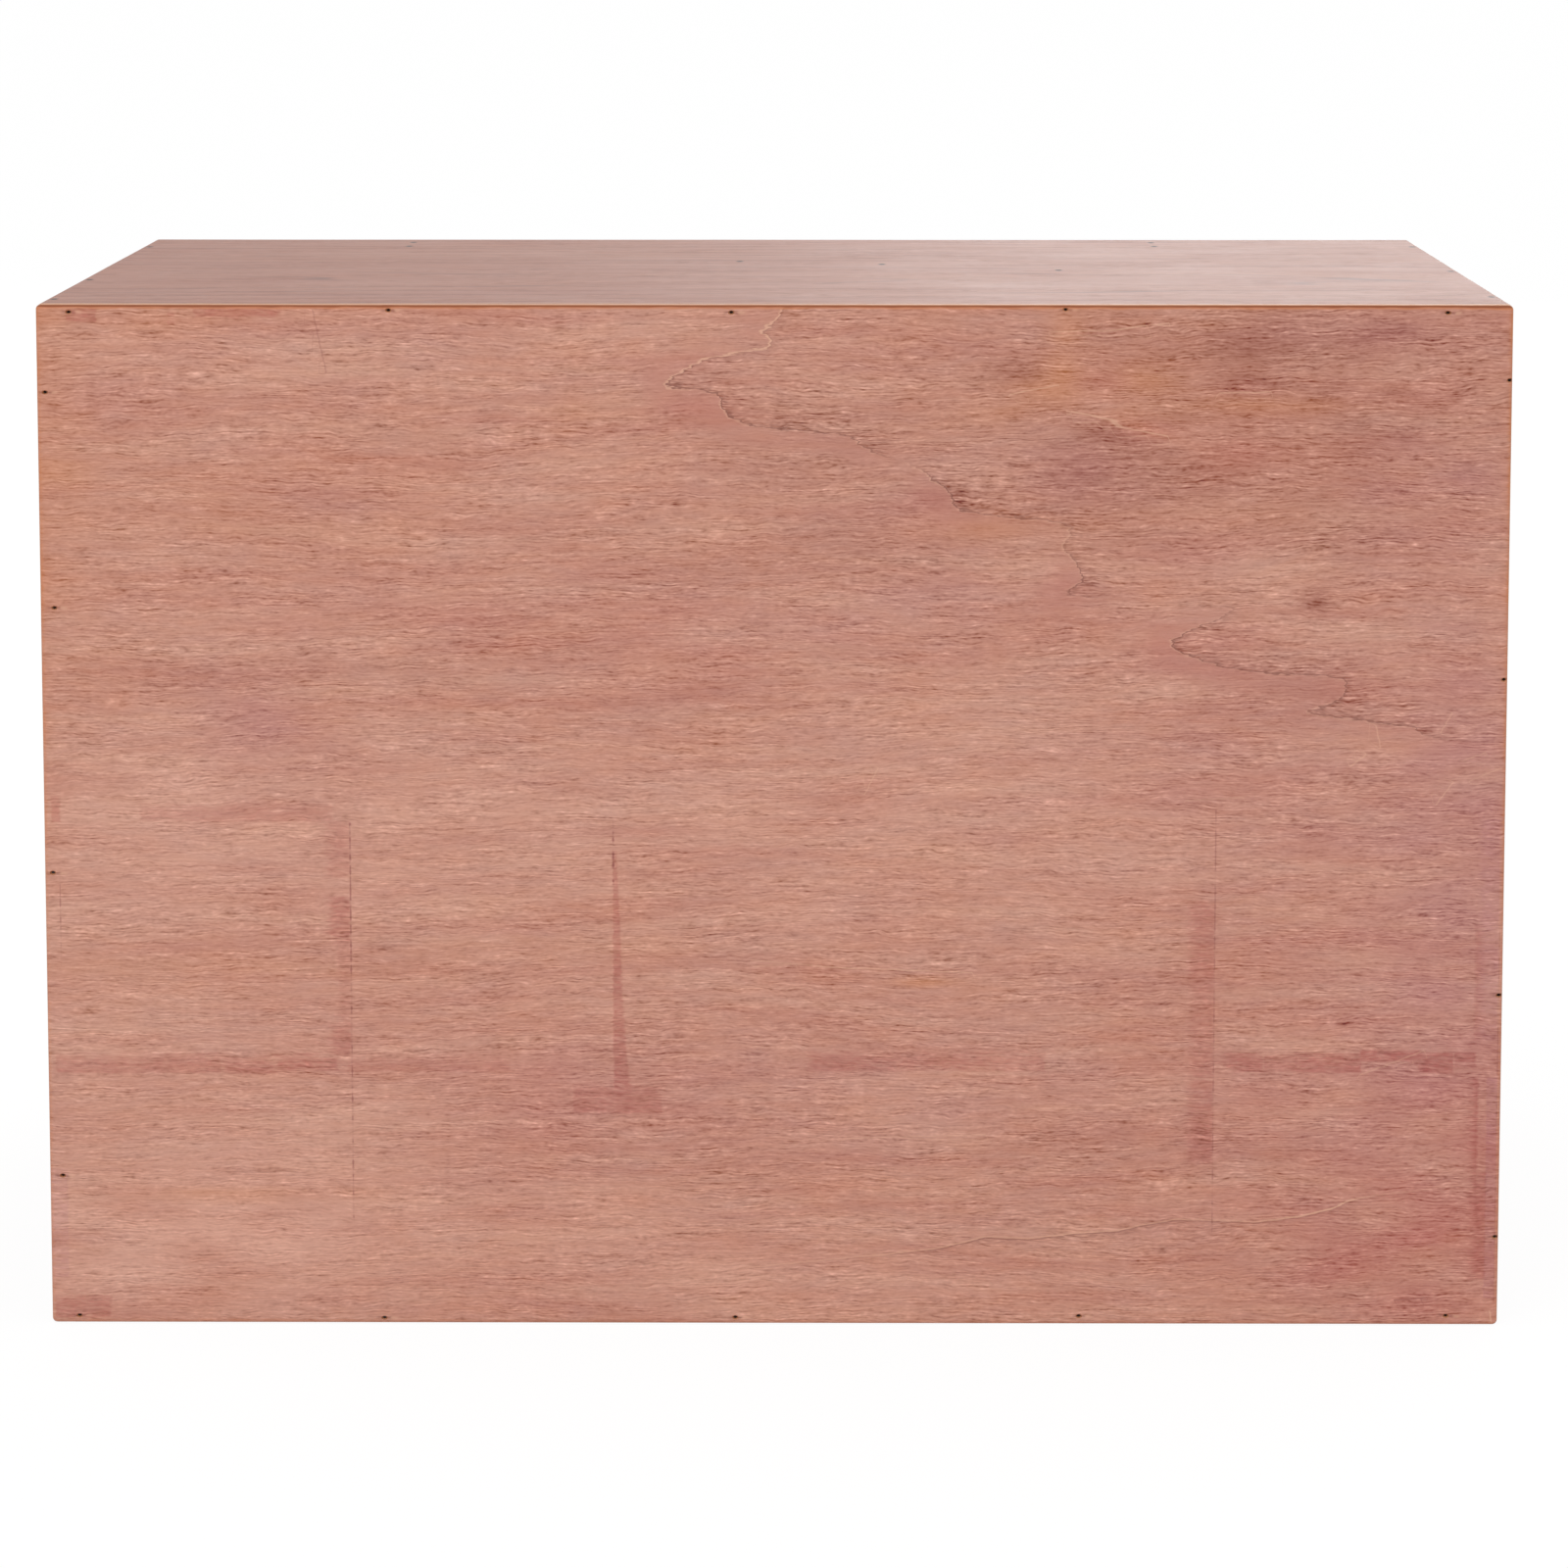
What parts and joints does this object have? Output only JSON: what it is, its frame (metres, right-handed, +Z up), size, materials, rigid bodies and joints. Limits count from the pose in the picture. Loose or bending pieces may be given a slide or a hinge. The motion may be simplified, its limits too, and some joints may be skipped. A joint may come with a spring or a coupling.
{
  "type": "desk drawer organizer",
  "caption": "Desktop organizer of thin stained boards: two rows of small sliding drawers with turned knobs under open cubbies and upright letter slots.",
  "frame": {"origin": "on the desk, under the middle of the whole object's outer box, knobs included", "axes": "+Z up; -Y is the front, the way the drawers open; +X is to the right when seen from the front"},
  "size_m": [0.432, 0.3204, 0.305],
  "materials": {
    "stained_wood": "satin",
    "stained_back": "satin",
    "bare_wood": "unfinished",
    "brass": "aged satin",
    "steel": "plain"
  },
  "bodies": {
    "case": {"bottom_panel": "stained_wood", "top_panel": "stained_wood", "back_panel": "stained_back", "left_side": "stained_wood", "right_side": "stained_wood", "left_partition": "stained_wood", "right_partition": "stained_wood", "left_lower_shelf": "stained_wood", "left_upper_shelf": "stained_wood", "centre_lower_shelf": "stained_wood", "centre_upper_shelf": "stained_wood", "right_lower_shelf": "stained_wood", "right_upper_shelf": "stained_wood", "left_upright": "stained_wood", "middle_upright": "stained_wood", "right_upright": "stained_wood"},
    "left_lower_drawer": {"left_lower_drawer_front": "stained_wood", "left_lower_drawer_left_side": "bare_wood", "left_lower_drawer_right_side": "bare_wood", "left_lower_drawer_back": "bare_wood", "left_lower_drawer_base": "bare_wood", "left_lower_drawer_knob": "brass", "left_lower_drawer_knob_screw": "steel"},
    "left_upper_drawer": {"left_upper_drawer_front": "stained_wood", "left_upper_drawer_left_side": "bare_wood", "left_upper_drawer_right_side": "bare_wood", "left_upper_drawer_back": "bare_wood", "left_upper_drawer_base": "bare_wood", "left_upper_drawer_knob": "brass", "left_upper_drawer_knob_screw": "steel"},
    "centre_lower_drawer": {"centre_lower_drawer_front": "stained_wood", "centre_lower_drawer_left_side": "bare_wood", "centre_lower_drawer_right_side": "bare_wood", "centre_lower_drawer_back": "bare_wood", "centre_lower_drawer_base": "bare_wood", "centre_lower_drawer_knob": "brass", "centre_lower_drawer_knob_screw": "steel"},
    "centre_upper_drawer": {"centre_upper_drawer_front": "stained_wood", "centre_upper_drawer_left_side": "bare_wood", "centre_upper_drawer_right_side": "bare_wood", "centre_upper_drawer_back": "bare_wood", "centre_upper_drawer_base": "bare_wood", "centre_upper_drawer_knob": "brass", "centre_upper_drawer_knob_screw": "steel"},
    "right_lower_drawer": {"right_lower_drawer_front": "stained_wood", "right_lower_drawer_left_side": "bare_wood", "right_lower_drawer_right_side": "bare_wood", "right_lower_drawer_back": "bare_wood", "right_lower_drawer_base": "bare_wood", "right_lower_drawer_knob": "brass", "right_lower_drawer_knob_screw": "steel"},
    "right_upper_drawer": {"right_upper_drawer_front": "stained_wood", "right_upper_drawer_left_side": "bare_wood", "right_upper_drawer_right_side": "bare_wood", "right_upper_drawer_back": "bare_wood", "right_upper_drawer_base": "bare_wood", "right_upper_drawer_knob": "brass", "right_upper_drawer_knob_screw": "steel"}
  },
  "joints": [
    {"name": "left_lower_drawer_slide", "type": "slide", "parent": "case", "child": "left_lower_drawer", "axis": [0, -1, 0], "range_m": [0, 0.215]},
    {"name": "left_upper_drawer_slide", "type": "slide", "parent": "case", "child": "left_upper_drawer", "axis": [0, -1, 0], "range_m": [0, 0.215]},
    {"name": "centre_lower_drawer_slide", "type": "slide", "parent": "case", "child": "centre_lower_drawer", "axis": [0, -1, 0], "range_m": [0, 0.215]},
    {"name": "centre_upper_drawer_slide", "type": "slide", "parent": "case", "child": "centre_upper_drawer", "axis": [0, -1, 0], "range_m": [0, 0.215]},
    {"name": "right_lower_drawer_slide", "type": "slide", "parent": "case", "child": "right_lower_drawer", "axis": [0, -1, 0], "range_m": [0, 0.215]},
    {"name": "right_upper_drawer_slide", "type": "slide", "parent": "case", "child": "right_upper_drawer", "axis": [0, -1, 0], "range_m": [0, 0.215]}
  ]
}
